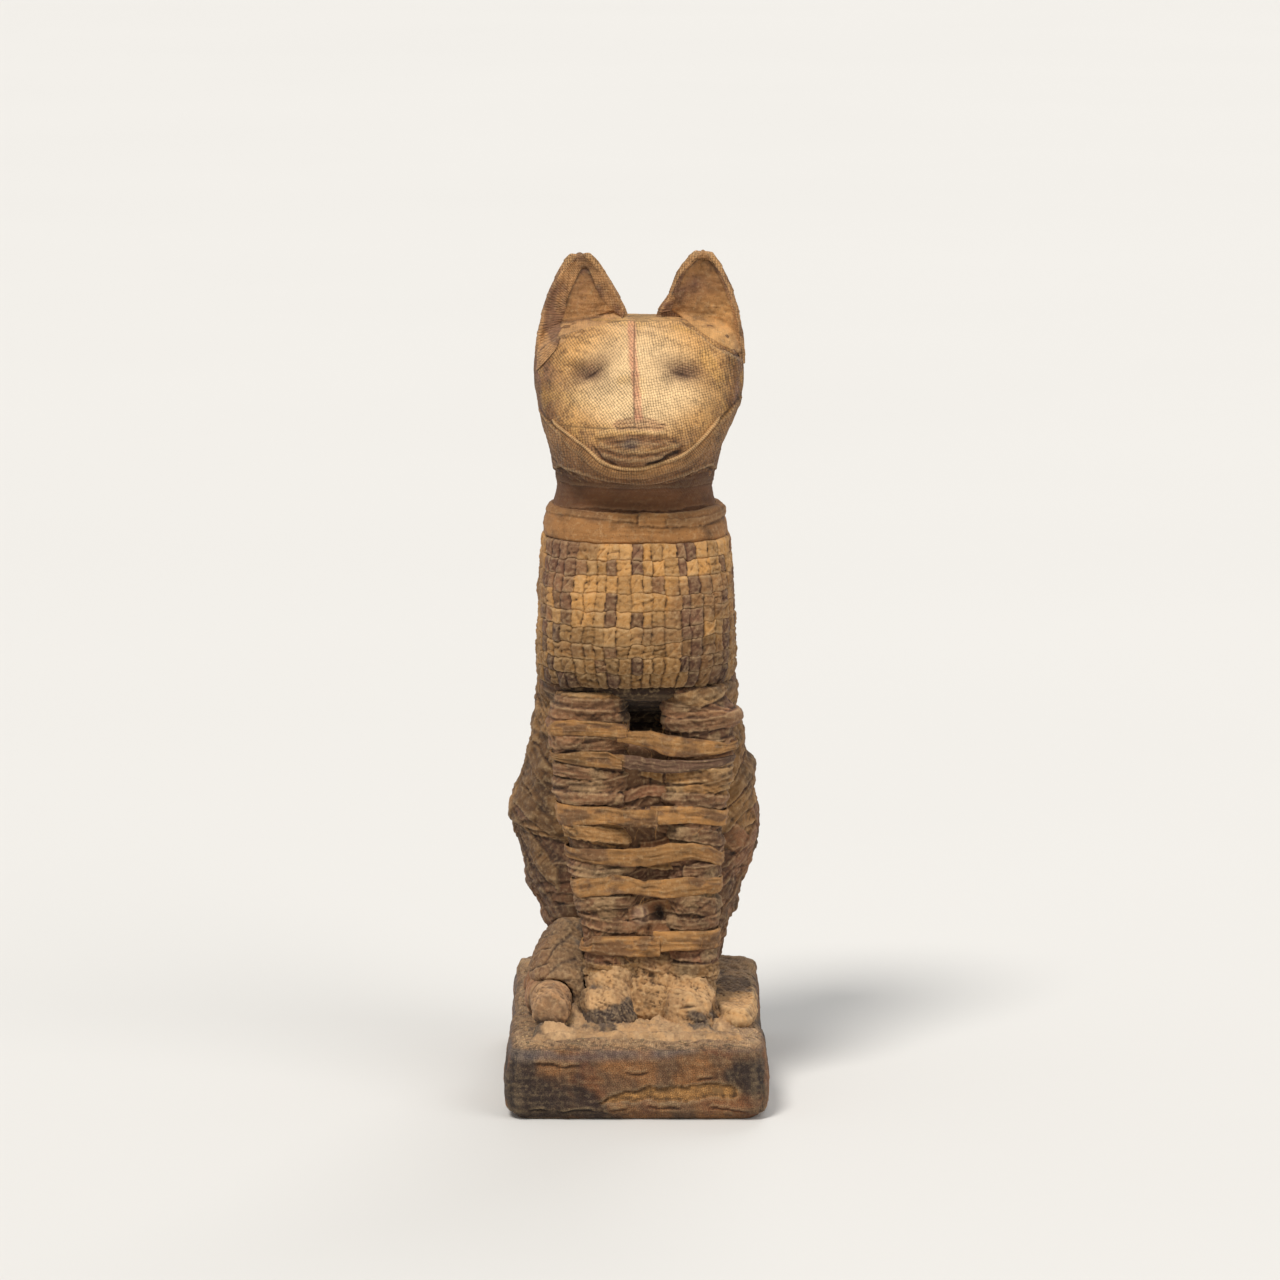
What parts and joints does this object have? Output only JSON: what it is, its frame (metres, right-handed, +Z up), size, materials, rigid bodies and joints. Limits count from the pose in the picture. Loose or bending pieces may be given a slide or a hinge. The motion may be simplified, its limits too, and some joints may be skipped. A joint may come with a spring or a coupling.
{
  "type": "egyptian animal mummy",
  "caption": "Seated cat mummy in linen wrappings on a linen-covered plinth, with upright ears, a woven chest and bound forelegs.",
  "frame": {"origin": "centre of the plinth's underside, on the surface it stands on", "axes": "+Z up, -Y towards where the cat faces, +X to the viewer's right when looking at its face"},
  "size_m": [0.106, 0.165, 0.3534],
  "materials": {
    "linen_pale": "aged plain-weave linen, pale tan, matt",
    "linen_tan": "aged linen strips, golden tan, frayed",
    "linen_brown": "resin-browned linen strips, matt",
    "linen_dark": "coarse linen blackened by resin",
    "packing": "wads of loose linen packing",
    "bone": "dry bone",
    "reed": "dry palm rib and reed",
    "wood": "rough-sawn block"
  },
  "bodies": {
    "root": {"body_packing_back": "packing", "body_packing_front": "packing", "body_wrap": "linen_pale", "chest_row_1": "linen_tan", "chest_row_2": "linen_tan", "chest_row_3": "linen_tan", "chest_row_4": "linen_tan", "chest_row_5": "linen_tan", "chest_row_6": "linen_tan", "chest_row_7": "linen_tan", "chest_row_8": "linen_tan", "chest_row_9": "linen_tan", "chin_sling": "linen_tan", "collar_band": "linen_tan", "foreleg_web": "packing", "head_cover": "linen_pale", "head_packing": "packing", "jaw": "bone", "left_arm_bones": "bone", "left_ear": "linen_pale", "left_ear_lining": "linen_brown", "left_ear_rim": "linen_tan", "left_foreleg_packing": "packing", "left_foreleg_wrap": "linen_brown", "left_haunch_packing": "packing", "left_haunch_wrap": "linen_brown", "left_hind_bones": "bone", "left_hind_foot": "linen_tan", "left_leg_reed": "reed", "left_paw": "linen_tan", "leg_band_1": "linen_tan", "leg_band_2": "linen_tan", "leg_band_3": "linen_tan", "leg_band_4": "linen_tan", "leg_band_5": "linen_tan", "leg_band_6": "linen_tan", "lower_body_wrap": "linen_brown", "neck_wrap": "linen_brown", "palm_rib": "reed", "pelvis": "bone", "plinth_block": "wood", "plinth_cover": "linen_dark", "plinth_inner_linen": "linen_tan", "rib_cage": "bone", "right_arm_bones": "bone", "right_ear": "linen_pale", "right_ear_lining": "linen_brown", "right_ear_rim": "linen_tan", "right_foreleg_packing": "packing", "right_foreleg_wrap": "linen_brown", "right_haunch_packing": "packing", "right_haunch_wrap": "linen_brown", "right_hind_bones": "bone", "right_hind_foot": "linen_tan", "right_leg_reed": "reed", "right_paw": "linen_tan", "skull": "bone", "spine": "bone", "tail_core": "packing", "tail_wrap": "linen_brown"}
  },
  "joints": []
}
